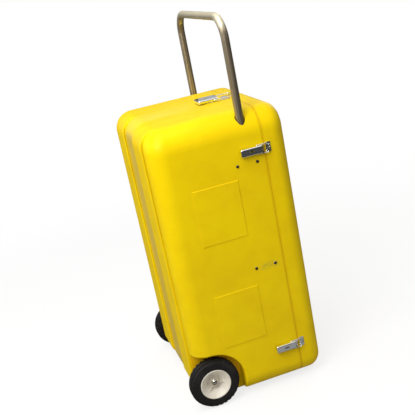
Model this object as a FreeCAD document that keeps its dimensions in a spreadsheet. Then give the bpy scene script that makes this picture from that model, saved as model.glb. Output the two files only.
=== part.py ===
import FreeCAD, Part
import math
import os
import re
import Sketcher
from FreeCAD import Placement, Rotation, Vector

# A wheeled transport box standing on its wheel end. +Z runs along its length, up to the pull handle.
# +X runs from its back, the underside when it lies down, to its lid. -Y is the side with two latches.

# Driving sizes in millimetres, and counts
SIZES = {
    # Moulded shells
    "case_length": 830,
    "foot_clearance": 10,
    "case_width": 482,
    "base_depth": 318,
    "lid_depth": 71,
    "wall": 5,
    "base_edge_radius": 52,
    "corner_spread": 14,
    "foot_spread": 4,
    "lid_edge_radius": 40,
    "rim_radius": 2,
    "seam_gap": 0.4,
    "lip_height": 8,
    "lip_thickness": 3,
    "lip_clearance": 0.6,
    "seal_width": 2.6,
    "seal_height": 2.4,
    "seal_gap": 0.1,
    # Raised forms moulded on the base
    "runner_height": 6,
    "runner_width": 108,
    "runner_inset": 63,
    "runner_start": 44,
    "runner_lead": 12,
    "runner_edge": 4,
    "pad_height": 1.6,
    "pad_bevel": 1.2,
    "pad_depth": 133,
    "pad_length": 163,
    "pad_from_seam": 157,
    "pad_drop": 262,
    "pad_rise": 251,
    # Wheels, their wells and their stub axles
    "wheel_diameter": 150,
    "wheel_stand_out": 20,
    "wheel_inset": 1,
    "tyre_width": 38,
    "tyre_seat_radius": 46,
    "tyre_bead": 4,
    "tyre_crown": 1,
    "tread_width": 20,
    "shoulder_drop": 3,
    "lug_count": 30,
    "lug_gap": 6,
    "lug_depth": 6,
    "rim_thickness": 4,
    "rim_flare": 2,
    "rim_flare_depth": 3,
    "hub_web": 5,
    "hub_web_setback": 25,
    "hub_web_width": 10,
    "hub_boss_wall": 7.65,
    "hub_boss_setback": 15,
    "hub_boss_length": 16,
    "hub_rib_count": 3,
    "hub_rib": 3,
    "hub_rib_rise": 2.5,
    "well_clearance": 17,
    "well_gap": 12,
    "arch_lip": 6,
    "axle_diameter": 12.7,
    "axle_running_clearance": 0.05,
    "axle_side_gap": 0.4,
    "axle_collar_rim": 4.65,
    "axle_stud_diameter": 12,
    "axle_stud_tail": 4,
    "axle_cap_rim": 4.65,
    "axle_cap_height": 8,
    "axle_cap_dome": 7,
    "axle_cap_hold": 2.5,
    "backing_plate_size": 60,
    "backing_plate": 3,
    "axle_nut_flats": 19,
    "axle_nut_height": 10,
    # Pull handle, its guides and its stops
    "tube_diameter": 22,
    "tube_wall": 1.5,
    "handle_inset": 20,
    "handle_from_seam": 48,
    "handle_rise": 249.5,
    "handle_bend": 60,
    "handle_hole_clearance": 2.5,
    "slide_clearance": 0.3,
    "guide_drop_upper": 144,
    "guide_drop_lower": 448,
    "guide_depth": 84,
    "guide_height": 30,
    "guide_cover": 6,
    "guide_offset": 7.5,
    "guide_screw_spacing": 58,
    "stop_rim": 3.5,
    "stop_height": 14,
    "stop_gap": 0.5,
    "leg_tail": 6,
    # Draw latches
    "latch_sheet": 1.6,
    "pivot_height": 8,
    "pivot_radius": 2,
    "running_clearance": 0.05,
    "latch_throw": 16,
    "over_centre": 0.8,
    "lever_length": 64,
    "lever_height": 13,
    "lever_window": 4,
    "lever_flange": 9,
    "lever_corner": 5,
    "lever_roll": 3.5,
    "lever_slot_length": 15,
    "lever_slot_width": 4,
    "ear_gap": 0.4,
    "bail_wire": 1.3,
    "bail_gap": 0.5,
    "bail_bend": 5,
    "bail_stub": 0.8,
    "bail_reach": 9,
    "keeper_start": 3.6,
    "keeper_length": 14.4,
    "keeper_tab_rise": 9,
    "keeper_tab_gap": 0.3,
    "keeper_rivet_inset": 9.7,
    "plate_tail": 44,
    "plate_seam_gap": 3,
    "plate_rivet_inset": 8.4,
    "plate_rivet_setback": 12.6,
    "side_latch_drop": 111,
    "side_latch_rise": 115,
    "side_pivot_setback": 8,
    "side_lever_width": 22,
    "end_pivot_setback": 38,
    "end_lever_width": 56,
    # Lid hinges
    "hinge_from_end": 225,
    "hinge_length": 70,
    "hinge_leaf": 30,
    "hinge_sheet": 2,
    "knuckle_radius": 4.2,
    "knuckle_length": 17,
    "knuckle_gap": 0.4,
    "knuckle_stand_off": 0.3,
    "hinge_pin_radius": 2,
    "hinge_rivet_edge": 11,
    # Rivets and screws
    "rivet_radius": 1.6,
    "rivet_head_rim": 1.9,
    "rivet_head_height": 1.5,
    "rivet_tail_rim": 1,
    "rivet_tail_height": 1.5,
    "screw_radius": 2.5,
    "screw_head_rim": 2,
    "screw_head_height": 2.6,
    "screw_head_round": 1.6,
    "screw_grip": 12,
    "pilot_depth": 13,
    "hole_clearance": 0.1,
}

# Sizes that follow from the driving ones
FOLLOWING = {
    "corner_radius": "base_edge_radius + corner_spread",
    "foot_radius": "base_edge_radius + foot_spread",
    "half_width": "case_width / 2",
    "overall_depth": "wheel_stand_out + runner_height + base_depth + lid_depth",
    "panel_x": "wheel_stand_out + runner_height - overall_depth / 2",
    "seam_x": "panel_x + base_depth",
    "bottom_z": "foot_clearance",
    "middle_z": "bottom_z + case_length / 2",
    "top_z": "bottom_z + case_length",
    "inner_face": "half_width - wall",
    "lip_inset": "wall + lip_clearance",
    "seal_inset": "wall - seal_width",
    "seal_top": "seal_gap + seal_height",
    "wheel_radius": "wheel_diameter / 2",
    "axle_x": "wheel_radius - overall_depth / 2",
    "half_tyre": "tyre_width / 2",
    "half_track": "half_width - wheel_inset - half_tyre",
    "half_tread": "tread_width / 2",
    "shoulder_radius": "wheel_radius - shoulder_drop",
    "rim_radius_inside": "tyre_seat_radius - rim_thickness",
    "dish_radius": "rim_radius_inside - rim_flare",
    "axle_radius": "axle_diameter / 2",
    "stud_radius": "axle_stud_diameter / 2",
    "boss_bore": "axle_radius + axle_running_clearance",
    "boss_radius": "axle_radius + hub_boss_wall",
    "boss_face": "half_tyre - hub_boss_setback",
    "web_radius": "boss_radius + hub_web_width",
    "web_face": "half_tyre - hub_web_setback",
    "well_radius": "wheel_radius + well_clearance",
    "well_face": "half_track - half_tyre - well_gap",
    "collar_end": "half_track + boss_face - hub_boss_length - axle_side_gap",
    "cap_start": "half_track + boss_face + axle_side_gap",
    "plate_start": "well_face - wall - backing_plate",
    "nut_start": "plate_start - axle_nut_height",
    "stud_start": "nut_start - axle_stud_tail",
    "handle_x": "seam_x - handle_from_seam",
    "half_handle": "half_width - handle_inset",
    "tube_radius": "tube_diameter / 2",
    "stop_z": "top_z - guide_drop_lower - guide_height / 2 - stop_gap - stop_height",
    "handle_end_z": "stop_z - leg_tail",
    "handle_leg": "top_z + handle_rise - handle_end_z",
    "guide_face": "half_handle - tube_radius - guide_cover",
    "bail_height": "pivot_height - over_centre",
    "bail_end_bend": "bail_wire + bail_gap * 0.8",
    "ear_inset": "latch_sheet + ear_gap",
    "ear_radius": "lever_height - latch_sheet - pivot_height - ear_gap",
    "eye_radius": "lever_height - pivot_height",
    "tab_face": "bail_reach - bail_wire - keeper_tab_gap",
    "hinge_drop": "knuckle_radius + knuckle_stand_off",
    "knuckle_relief": "knuckle_radius + knuckle_gap",
    "half_hinge": "hinge_length / 2",
    "middle_knuckle": "hinge_length - 2 * knuckle_length - 2 * knuckle_gap",
    "rivet_hole": "rivet_radius + hole_clearance",
    "screw_hole": "screw_radius + hole_clearance",
}

AXIS_X = Vector(1, 0, 0)
AXIS_Y = Vector(0, 1, 0)
AXIS_Z = Vector(0, 0, 1)
LATCH_SIDE = -1
HINGE_SIDE = 1
SIDES = {"latch_side": LATCH_SIDE, "hinge_side": HINGE_SIDE}
LEVELS = ("upper", "lower")

doc = FreeCAD.newDocument("transport_box")
sheet = doc.addObject("Spreadsheet::Sheet", "dim")
nodes = []


def fill_sheet():
    """Writes every size to the sheet, under its own name."""
    cells = dict(SIZES)
    cells.update((name, "=" + text) for name, text in FOLLOWING.items())
    for row, (name, content) in enumerate(cells.items(), 1):
        sheet.set(f"A{row}", name)
        sheet.set(f"B{row}", str(content))
        sheet.setAlias(f"B{row}", name)
    doc.recompute()


def formula(text):
    """An expression on the sheet's cells, from a formula in their names."""
    known = SIZES.keys() | FOLLOWING.keys()
    return re.sub(r"\b[a-z][a-z_]*\b", lambda m: "dim." + m[0] if m[0] in known else m[0], text)


def number(text):
    """The present value of a formula."""
    return float(sheet.evalExpression(formula(text)))


def bind(thing, prop, text):
    thing.setExpression(prop, formula(text))


def locate(thing, place, rotation=Rotation()):
    """Sets where a thing stands, by three formulas and a fixed rotation."""
    thing.Placement = Placement(Vector(), rotation)
    for letter, text in zip("xyz", place):
        bind(thing, f"Placement.Base.{letter}", text)


def as_node(thing, label):
    """Marks a finished piece, whose label names its file."""
    thing.Label = label
    nodes.append(thing)
    return thing


def new_body(name):
    return doc.addObject("PartDesign::Body", name)


def origin_feature(body, role):
    return next(f for f in body.Origin.OriginFeatures if f.Role == role), [""]


def sketch_on(body, role, name, lift="0"):
    """An empty sketch on one of the body's own planes, or lifted off it."""
    sketch = body.newObject("Sketcher::SketchObject", name)
    sketch.AttachmentSupport = origin_feature(body, role)
    sketch.MapMode = "FlatFace"
    bind(sketch, "AttachmentOffset.Base.z", lift)
    return sketch


def constrain(sketch, label, text, kind, *where):
    """Adds a named constraint bound to a formula."""
    index = sketch.addConstraint(Sketcher.Constraint(kind, *where, number(text)))
    sketch.renameConstraint(index, label)
    bind(sketch, f"Constraints.{label}", text)


def polygon(body, role, name, corners, lift="0"):
    """A sketch of straight lines through corners given as pairs of formulas."""
    sketch = sketch_on(body, role, name, lift)
    count = len(corners)
    spots = [Vector(number(x), number(y), 0) for x, y in corners]
    for i, spot in enumerate(spots):
        sketch.addGeometry(Part.LineSegment(spot, spots[(i + 1) % count]))
    for i, (x, y) in enumerate(corners):
        sketch.addConstraint(Sketcher.Constraint("Coincident", (i - 1) % count, 2, i, 1))
        constrain(sketch, f"x{i}", x, "DistanceX", -1, 1, i, 1)
        constrain(sketch, f"y{i}", y, "DistanceY", -1, 1, i, 1)
    return sketch


def rectangle(body, role, name, width, height):
    """A rectangle centred on the origin of one of the body's planes."""
    right, top = f"({width}) / 2", f"({height}) / 2"
    corners = [(f"-{right}", f"-{top}"), (right, f"-{top}"), (right, top), (f"-{right}", top)]
    return polygon(body, role, name, corners)


def bent_path(body, role, name, corners, bends, lift="0"):
    """A sketch of runs along the plane's two axes through corners, joined by tangent bends."""
    sketch = sketch_on(body, role, name, lift)
    spots = [Vector(number(x), number(y), 0) for x, y in corners]
    ways = [(after - before).normalize() for before, after in zip(spots, spots[1:])]
    radii = [0] + [number(bend) for bend in bends] + [0]
    last = len(ways) - 1
    for i, way in enumerate(ways):
        line = Part.LineSegment(spots[i] + way * radii[i], spots[i + 1] - way * radii[i + 1])
        sketch.addGeometry(line)
        level = abs(way.x) > abs(way.y)
        sketch.addConstraint(Sketcher.Constraint("Horizontal" if level else "Vertical", i))
        constrain(sketch, f"run{i}", corners[i][level], "DistanceY" if level else "DistanceX", -1, 1, i, 1)
        if i in (0, last):
            end = corners[-1] if i else corners[0]
            free = "DistanceX" if level else "DistanceY"
            constrain(sketch, f"end{i}", end[not level], free, -1, 1, i, 2 if i else 1)
    for i, bend in enumerate(bends):
        turn = ways[i + 1] - ways[i]
        radius = radii[i + 1]
        centre = spots[i + 1] + turn * radius
        first, final = spots[i + 1] - ways[i] * radius, spots[i + 1] + ways[i + 1] * radius
        arc = sketch.addGeometry(Part.Arc(first, centre - turn.normalize() * radius, final))
        begin, end = (1, 2) if ways[i].cross(ways[i + 1]).z > 0 else (2, 1)
        sketch.addConstraint(Sketcher.Constraint("Tangent", i, 2, arc, begin))
        sketch.addConstraint(Sketcher.Constraint("Tangent", arc, end, i + 1, 1))
        constrain(sketch, f"bend{i}", bend, "Radius", arc)
    return sketch


def round_section(body, role, name, centre, radii, lift="0"):
    """A sketch of circles round one centre."""
    sketch = sketch_on(body, role, name, lift)
    x, y = centre
    for i, radius in enumerate(radii):
        sketch.addGeometry(Part.Circle(Vector(number(x), number(y), 0), AXIS_Z, number(radius)))
        constrain(sketch, f"radius{i}", radius, "Radius", i)
        constrain(sketch, f"x{i}", x, "DistanceX", -1, 1, i, 3)
        constrain(sketch, f"y{i}", y, "DistanceY", -1, 1, i, 3)
    return sketch


def pad(body, profile, length):
    step = body.newObject("PartDesign::Pad", profile.Name + "_pad")
    step.Profile = profile
    bind(step, "Length", length)
    return step


def revolve(body, profile):
    """Turns a profile once round the body's Y axis."""
    step = body.newObject("PartDesign::Revolution", profile.Name + "_turn")
    step.Profile = profile
    step.ReferenceAxis = origin_feature(body, "Y_Axis")
    step.Angle = 360
    return step


def sweep(body, section, path):
    doc.recompute()
    step = body.newObject("PartDesign::AdditivePipe", path.Name + "_sweep")
    step.Profile = section
    step.Spine = (path, [])
    return step


def round_pattern(body, steps, count):
    """Repeats steps evenly round the body's Y axis."""
    pattern = body.newObject("PartDesign::PolarPattern", steps[0].Name + "_round")
    pattern.Originals = steps
    pattern.Axis = origin_feature(body, "Y_Axis")
    pattern.Angle = 360
    bind(pattern, "Occurrences", count)
    body.Tip = pattern
    return pattern


def lies_at(edge, axis, value):
    """Whether an edge lies in the plane where one coordinate has a value."""
    box = edge.BoundBox
    ends = getattr(box, axis + "Min"), getattr(box, axis + "Max")
    return all(abs(end - value) < 1e-4 for end in ends)


def runs_along(edge, direction):
    """Whether an edge is straight and runs along a direction."""
    ends = edge.Vertexes
    if len(ends) < 2 or not isinstance(edge.Curve, Part.Line):
        return False
    return abs((ends[1].Point - ends[0].Point).normalize().dot(direction)) > 0.9999


def blend(body, kind, name, prop, size, wanted):
    """Rounds or bevels the wanted edges of the body's last step."""
    doc.recompute()
    last = body.Tip
    edges = [f"Edge{i}" for i, edge in enumerate(last.Shape.Edges, 1) if wanted(edge)]
    step = body.newObject("PartDesign::" + kind, name)
    step.Base = (last, edges)
    bind(step, prop, size)
    return step


def fillet(body, name, radius, wanted):
    return blend(body, "Fillet", name, "Radius", radius, wanted)


def chamfer(body, name, size, wanted):
    return blend(body, "Chamfer", name, "Size", size, wanted)


def block(body, name, low, size, cut=False):
    """A block added to or cut from a body, by its low corner and its three sizes."""
    step = body.newObject("PartDesign::SubtractiveBox" if cut else "PartDesign::AdditiveBox", name)
    for prop, text in zip(("Length", "Width", "Height"), size):
        bind(step, prop, text)
    locate(step, low)
    return step


def rod(body, name, start, axis, radius, length, cut=False):
    """A round bar added to a body, or a bore cut from it."""
    kind = "PartDesign::SubtractiveCylinder" if cut else "PartDesign::AdditiveCylinder"
    step = body.newObject(kind, name)
    bind(step, "Radius", radius)
    bind(step, "Height", length)
    locate(step, start, Rotation(AXIS_Z, axis))
    return step


def bore(body, name, start, axis, radius, length):
    return rod(body, name, start, axis, radius, length, cut=True)


def join(name, shapes):
    step = doc.addObject("Part::MultiFuse", name)
    step.Shapes = shapes
    return step


def cut(name, base, tools):
    step = doc.addObject("Part::Cut", name)
    step.Base = base
    step.Tool = tools[0] if len(tools) == 1 else join(name + "_tools", tools)
    return step


# Moulded shells
def rounded_tray(name, inset, start, length, floor_radius=None, floor_first=True):
    """A block with the case's outline, drawn in by an inset and rounded at its corners and its floor."""
    body = new_body(name)
    outline = rectangle(body, "YZ_Plane", name + "_outline",
                        f"case_width - 2 * ({inset})", f"case_length - 2 * ({inset})")
    pad(body, outline, length)
    fillet(body, name + "_corners", f"corner_radius - ({inset})",
           lambda e: runs_along(e, AXIS_X) and e.CenterOfMass.z > 0)
    fillet(body, name + "_foot", f"foot_radius - ({inset})",
           lambda e: runs_along(e, AXIS_X) and e.CenterOfMass.z < 0)
    if floor_radius is not None:
        floor = 0 if floor_first else number(length)
        fillet(body, name + "_floor", floor_radius, lambda e: lies_at(e, "X", floor))
    locate(body, (start, "0", "middle_z"))
    return body


def runner(name, side):
    """A broad rib along the back that the lying box slides on, running out over the handle end."""
    body = new_body("runner_" + name)
    profile = polygon(body, "XZ_Plane", "runner_profile_" + name, [
        ("-runner_height", "runner_start"), ("base_edge_radius", "runner_start"),
        ("base_edge_radius", "case_length"), ("-runner_height", "case_length")])
    pad(body, profile, "runner_width")
    face = number("-runner_height")
    top, foot = number("case_length"), number("runner_start")
    fillet(body, "runner_top_" + name, "base_edge_radius",
           lambda e: lies_at(e, "X", face) and lies_at(e, "Z", top))
    fillet(body, "runner_foot_" + name, "runner_lead",
           lambda e: lies_at(e, "X", face) and lies_at(e, "Z", foot))
    fillet(body, "runner_edges_" + name, "runner_edge",
           lambda e: lies_at(e, "X", face) and runs_along(e, AXIS_Z))
    centre = f"{side} * (half_width - runner_inset - runner_width / 2)"
    locate(body, ("panel_x", f"{centre} + runner_width / 2", "bottom_z"))
    return body


def raised_field(level, middle):
    """A plain raised field on the latch side."""
    body = new_body("field_" + level)
    outline = rectangle(body, "XZ_Plane", "field_outline_" + level, "pad_depth", "pad_length")
    pad(body, outline, "wall / 2 + pad_height")
    face = number("-wall / 2 - pad_height")
    chamfer(body, "field_bevel_" + level, "pad_bevel", lambda e: lies_at(e, "Y", face))
    locate(body, ("seam_x - pad_from_seam", "wall / 2 - half_width", middle))
    return body


def wheel_well(name, side, growth):
    """The room round a wheel, open at the back, the wheel end and the side."""
    body = new_body(name)
    reach, beyond = f"well_radius + {growth}", "-wheel_diameter"
    corners = [(beyond, beyond), (reach, beyond), (reach, reach), (beyond, reach)]
    pad(body, polygon(body, "XZ_Plane", name + "_outline", corners), "half_width")
    spot = number(reach)
    fillet(body, name + "_arch", reach, lambda e: lies_at(e, "X", spot) and lies_at(e, "Z", spot))
    face = f"well_face - {growth}"
    start = f"-({face})" if side == LATCH_SIDE else f"{face} + half_width"
    locate(body, ("axle_x", start, "wheel_radius"))
    return body


def end_holes():
    """The holes for the handle's legs in the handle end and for the axles in the wheel wells."""
    body = new_body("end_holes")
    for name, side in SIDES.items():
        rod(body, "leg_hole_" + name, ("handle_x", f"{side} * half_handle", "top_z - corner_radius"),
            AXIS_Z, "tube_radius + handle_hole_clearance", "2 * corner_radius")
        rod(body, "stud_hole_" + name, ("axle_x", f"{side} * (well_face - wall / 2) - wall", "wheel_radius"),
            AXIS_Y, "stud_radius + hole_clearance", "2 * wall")
    return body


def on_arch(edge):
    """Whether an edge is part of the lip of a wheel well, outside its inner wall."""
    spot = edge.valueAt((edge.FirstParameter + edge.LastParameter) / 2)
    x, z = spot.x - number("axle_x"), spot.z - number("wheel_radius")
    distance = math.hypot(max(x, 0), max(z, 0))
    return abs(distance - number("well_radius")) < 1e-3 and abs(spot.y) > number("well_face") + 1e-3


def base_shell(fastener_holes):
    """The deep lower moulding: runners and fields outside, wheel wells at one end, hollow to the seam."""
    outer = rounded_tray("base_outer", "0", "panel_x", "base_depth", "base_edge_radius")
    inside = rounded_tray("base_inside", "wall", "panel_x + wall", "base_depth", "base_edge_radius - wall")
    runners = [runner(name, side) for name, side in SIDES.items()]
    fields = [raised_field("upper", "top_z - pad_drop"), raised_field("lower", "bottom_z + pad_rise")]
    wells = [wheel_well("well_" + name, side, "0") for name, side in SIDES.items()]
    well_walls = [wheel_well("well_wall_" + name, side, "wall") for name, side in SIDES.items()]
    arched = cut("base_arched", join("base_moulding", [outer] + runners + fields), wells)
    doc.recompute()
    softened = doc.addObject("Part::Fillet", "base_softened")
    softened.Base = arched
    lip = number("arch_lip")
    softened.Edges = [(i, lip, lip) for i, edge in enumerate(arched.Shape.Edges, 1) if on_arch(edge)]
    room = cut("base_room", inside, well_walls)
    return as_node(cut("base", softened, [room, end_holes(), fastener_holes]), "base_shell")


def band(name, outer_inset, inner_inset, start, length):
    """A band that follows the case's outline between two insets."""
    outer = rounded_tray(name + "_outer", outer_inset, start, length)
    inner = rounded_tray(name + "_inner", inner_inset, f"{start} - wall", f"{length} + 2 * wall")
    return cut(name, outer, [inner])


def lid_shell(fastener_holes):
    """The shallow upper moulding, with a seat for the seal and a lip that reaches into the base."""
    outer = rounded_tray("lid_outer", "0", "seam_x + seam_gap", "lid_depth - seam_gap",
                         "lid_edge_radius", floor_first=False)
    fillet(outer, "lid_rim", "rim_radius", lambda e: lies_at(e, "X", 0))
    inside = rounded_tray("lid_inside", "wall", "seam_x - wall", "lid_depth",
                          "lid_edge_radius - wall", floor_first=False)
    lip_inner = "lip_inset + lip_thickness"
    seat = band("lid_seal_seat", "seal_inset", lip_inner, "seam_x - wall", "wall + seal_top")
    lip = band("lid_lip", "lip_inset", lip_inner, "seam_x - lip_height", "2 * lip_height")
    shoulder = band("lid_shoulder", "seal_inset", lip_inner, "seam_x + seal_top", "lip_height - seal_top")
    hollow = cut("lid_hollow", outer, [inside, seat])
    whole = join("lid_whole", [hollow, lip, shoulder])
    return as_node(cut("lid", whole, [fastener_holes]), "lid_shell")


def lid_seal():
    """The rubber band in the lid's rim that closes on the rim of the base."""
    return as_node(band("seal", "seal_inset", "wall", "seam_x + seal_gap", "seal_height"), "lid_seal")


# Wheels, each piece in its own frame: +Y away from the case along the axle
def wheel_body(piece, name, side, middle):
    """An empty body on the axle of one side, at a distance from the case's middle."""
    body = new_body(f"{piece}_{name}_body")
    turn = 0 if side == HINGE_SIDE else 180
    locate(body, ("axle_x", f"{side} * ({middle})", "wheel_radius"), Rotation(AXIS_Z, turn))
    return as_node(body, f"{piece}_{name}")


def hub(name, side):
    """A dished wheel centre with ribs from its boss up to its rim."""
    body = wheel_body("hub", name, side, "half_track")
    revolve(body, polygon(body, "XY_Plane", "hub_profile_" + name, [
        ("boss_bore", "boss_face - hub_boss_length"), ("boss_radius", "boss_face - hub_boss_length"),
        ("boss_radius", "web_face - hub_web"), ("web_radius", "web_face - hub_web"),
        ("dish_radius", "rim_flare_depth - half_tyre"), ("rim_radius_inside", "-half_tyre"),
        ("tyre_seat_radius", "-half_tyre"), ("tyre_seat_radius", "half_tyre"),
        ("rim_radius_inside", "half_tyre"), ("dish_radius", "half_tyre - rim_flare_depth"),
        ("web_radius", "web_face"), ("boss_radius", "web_face"),
        ("boss_radius", "boss_face"), ("boss_bore", "boss_face")]))
    rib = pad(body, polygon(body, "XY_Plane", "hub_rib_" + name, [
        ("(boss_bore + boss_radius) / 2", "web_face - hub_web / 2"), ("web_radius", "web_face - hub_web / 2"),
        ("dish_radius", "half_tyre - rim_flare_depth"),
        ("dish_radius - hub_rib_rise", "half_tyre - rim_flare_depth"),
        ("web_radius - hub_rib_rise", "web_face + hub_rib_rise"),
        ("(boss_bore + boss_radius) / 2", "web_face + hub_rib_rise")], "-hub_rib / 2"), "hub_rib")
    round_pattern(body, [rib], "hub_rib_count")
    return body


def tyre(name, side):
    """A solid rubber tyre with lugs along both shoulders of its tread."""
    body = wheel_body("tyre", name, side, "half_track")
    flank = "half_tyre - tyre_crown / 2"
    profile = polygon(body, "XY_Plane", "tyre_profile_" + name, [
        ("tyre_seat_radius", "tyre_crown - half_tyre"), ("tyre_seat_radius + tyre_bead", "-half_tyre"),
        ("shoulder_radius - lug_depth", f"-({flank})"), ("shoulder_radius", "shoulder_drop - half_tyre"),
        ("wheel_radius", "-half_tread"), ("wheel_radius", "half_tread"),
        ("shoulder_radius", "half_tyre - shoulder_drop"), ("shoulder_radius - lug_depth", flank),
        ("tyre_seat_radius + tyre_bead", "half_tyre"), ("tyre_seat_radius", "half_tyre - tyre_crown")])
    revolve(body, profile)
    floor = "shoulder_radius - lug_depth / 2"
    size = ("2 * lug_depth", "half_tyre - half_tread", "lug_gap")
    gaps = [block(body, f"lug_gap_{edge}_{name}", (floor, start, "-lug_gap / 2"), size, cut=True)
            for edge, start in (("outer", "half_tread"), ("inner", "-half_tyre"))]
    round_pattern(body, gaps, "lug_count")
    return body


def axle_stub(name, side):
    """The stub axle bolted through the wall of a wheel well, from its threaded tail to its tip."""
    body = wheel_body("axle_stub", name, side, "0")
    rod(body, "stud_" + name, ("0", "stud_start", "0"), AXIS_Y, "stud_radius", "well_face - stud_start")
    rod(body, "collar_" + name, ("0", "well_face", "0"), AXIS_Y, "axle_radius + axle_collar_rim",
        "collar_end - well_face")
    rod(body, "shaft_" + name, ("0", "collar_end", "0"), AXIS_Y, "axle_radius",
        "cap_start + axle_cap_hold - collar_end")
    return body


def axle_cap(name, side):
    """The domed push-on cap that keeps a wheel on its axle."""
    body = wheel_body("axle_cap", name, side, "cap_start")
    rod(body, "cap_disc_" + name, ("0", "0", "0"), AXIS_Y, "axle_radius + axle_cap_rim", "axle_cap_height")
    face = number("axle_cap_height")
    fillet(body, "cap_dome_" + name, "axle_cap_dome", lambda e: lies_at(e, "Y", face))
    bore(body, "cap_seat_" + name, ("0", "0", "0"), AXIS_Y, "axle_radius", "axle_cap_hold")
    return body


def backing_plate(name, side):
    """The steel plate behind the wall that spreads an axle's load."""
    body = wheel_body("backing_plate", name, side, "0")
    corner = "-backing_plate_size / 2"
    block(body, "backing_" + name, (corner, "plate_start", corner),
          ("backing_plate_size", "backing_plate", "backing_plate_size"))
    bore(body, "backing_hole_" + name, ("0", "plate_start", "0"), AXIS_Y,
         "stud_radius + hole_clearance", "backing_plate")
    return body


def axle_nut(name, side):
    body = wheel_body("axle_nut", name, side, "0")
    prism = body.newObject("PartDesign::AdditivePrism", "nut_prism_" + name)
    prism.Polygon = 6
    bind(prism, "Circumradius", "axle_nut_flats / sqrt(3)")
    bind(prism, "Height", "axle_nut_height")
    locate(prism, ("0", "nut_start", "0"), Rotation(AXIS_Z, AXIS_Y))
    bore(body, "nut_thread_" + name, ("0", "nut_start", "0"), AXIS_Y, "stud_radius", "axle_nut_height")
    return body


# Pull handle
def handle_tube():
    """One tube bent twice, with a leg down each side of the case."""
    body = new_body("handle")
    path = bent_path(body, "YZ_Plane", "handle_path", [
        ("-half_handle", "0"), ("-half_handle", "handle_leg"),
        ("half_handle", "handle_leg"), ("half_handle", "0")], ["handle_bend", "handle_bend"])
    section = round_section(body, "XY_Plane", "handle_section", ("0", "-half_handle"),
                            ["tube_radius", "tube_radius - tube_wall"])
    sweep(body, section, path)
    locate(body, ("handle_x", "0", "handle_end_z"))
    return as_node(body, "handle_tube")


def handle_stop(name, side):
    """The collar that stops a leg at the lower guide when the handle is pulled out."""
    body = new_body("stop_" + name)
    rod(body, "stop_ring_" + name, ("0", "0", "0"), AXIS_Z, "tube_radius + stop_rim", "stop_height")
    bore(body, "stop_bore_" + name, ("0", "0", "0"), AXIS_Z, "tube_radius", "stop_height")
    locate(body, ("handle_x", f"{side} * half_handle", "stop_z"))
    return as_node(body, "handle_stop_" + name)


def handle_guide(level, name, side):
    """A block screwed inside the side wall, in which a leg slides."""
    body = new_body(f"guide_{level}_{name}")
    tag = f"{level}_{name}"
    low_y = "guide_face" if side == HINGE_SIDE else "-inner_face"
    block(body, "guide_block_" + tag, ("-guide_depth / 2 - guide_offset", low_y, "-guide_height / 2"),
          ("guide_depth", "inner_face - guide_face", "guide_height"))
    face = side * number("guide_face")
    fillet(body, "guide_round_" + tag, "guide_cover",
           lambda e: lies_at(e, "Y", face) and runs_along(e, AXIS_Z))
    bore(body, "guide_bore_" + tag, ("0", f"{side} * half_handle", "-guide_height / 2"), AXIS_Z,
         "tube_radius + slide_clearance", "guide_height")
    for step in (-1, 1):
        bore(body, f"guide_pilot_{tag}_{step + 1}", (screw_x(step), f"{side} * inner_face", "0"),
             AXIS_Y * -side, "screw_radius", "pilot_depth")
    locate(body, ("handle_x", "0", f"top_z - guide_drop_{level}"))
    return as_node(body, f"handle_guide_{level}_{name}")


def screw_x(step):
    """How far a guide's screw stands from the leg that the guide holds."""
    return f"{step} * guide_screw_spacing / 2 - guide_offset"


# Draw latches, each in its own frame: +X towards the lid, +Y along the pivots, +Z off the wall
LATCHES = {
    "upper": ("side", Rotation(AXIS_X, 90), ("seam_x", "-half_width", "top_z - side_latch_drop")),
    "lower": ("side", Rotation(AXIS_X, 90), ("seam_x", "-half_width", "bottom_z + side_latch_rise")),
    "end": ("end", Rotation(), ("seam_x", "0", "top_z")),
}


def latch_body(latch, piece):
    """An empty body that stands in the frame of one latch."""
    rotation, place = LATCHES[latch][1:]
    body = new_body(f"{piece}_{latch}_body")
    locate(body, place, rotation)
    return as_node(body, f"latch_{latch}_{piece}")


def latch_sizes(latch):
    """Formulas for the pivot's place and for half the lever's width."""
    kind = LATCHES[latch][0]
    return f"-{kind}_pivot_setback", f"{kind}_lever_width / 2"


def plate_rivets(latch):
    """Where a latch's plate is riveted to the base, along its middle."""
    pivot = latch_sizes(latch)[0]
    return [(f"{pivot} - plate_tail + plate_rivet_inset", "0"), (f"{pivot} - plate_rivet_setback", "0")]


def keeper_rivets(latch):
    """Where a keeper is riveted to the lid, clear of the bail."""
    half = latch_sizes(latch)[1]
    x = "keeper_start + keeper_length - rivet_radius - rivet_head_rim"
    return [(x, f"{step} * ({half} + 2 * bail_wire - keeper_rivet_inset)") for step in (-1, 1)]


def rivet_holes(body, tag, spots):
    for i, (x, y) in enumerate(spots):
        bore(body, f"rivet_hole_{tag}_{i}", (x, y, "0"), AXIS_Z, "rivet_hole", "latch_sheet")


def latch_plate(latch):
    """The plate on the base with two ears that carry the lever."""
    body = latch_body(latch, "plate")
    pivot, half = latch_sizes(latch)
    ear = f"{half} - ear_inset"
    block(body, "plate_" + latch, (f"{pivot} - plate_tail", f"-({ear})", "0"),
          (f"plate_tail - ({pivot}) - plate_seam_gap", f"2 * ({ear})", "latch_sheet"))
    for step in (-1, 1):
        tag = f"{latch}_{step + 1}"
        start = f"-({ear})" if step < 0 else f"{ear} - latch_sheet"
        block(body, "ear_foot_" + tag, (f"{pivot} - ear_radius", start, "0"),
              ("2 * ear_radius", "latch_sheet", "pivot_height"))
        rod(body, "ear_top_" + tag, (pivot, start, "pivot_height"), AXIS_Y, "ear_radius", "latch_sheet")
    bore(body, "ear_bore_" + latch, (pivot, f"-({half})", "pivot_height"), AXIS_Y,
         "pivot_radius", f"2 * ({half})")
    rivet_holes(body, "plate_" + latch, plate_rivets(latch))
    return body


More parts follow.
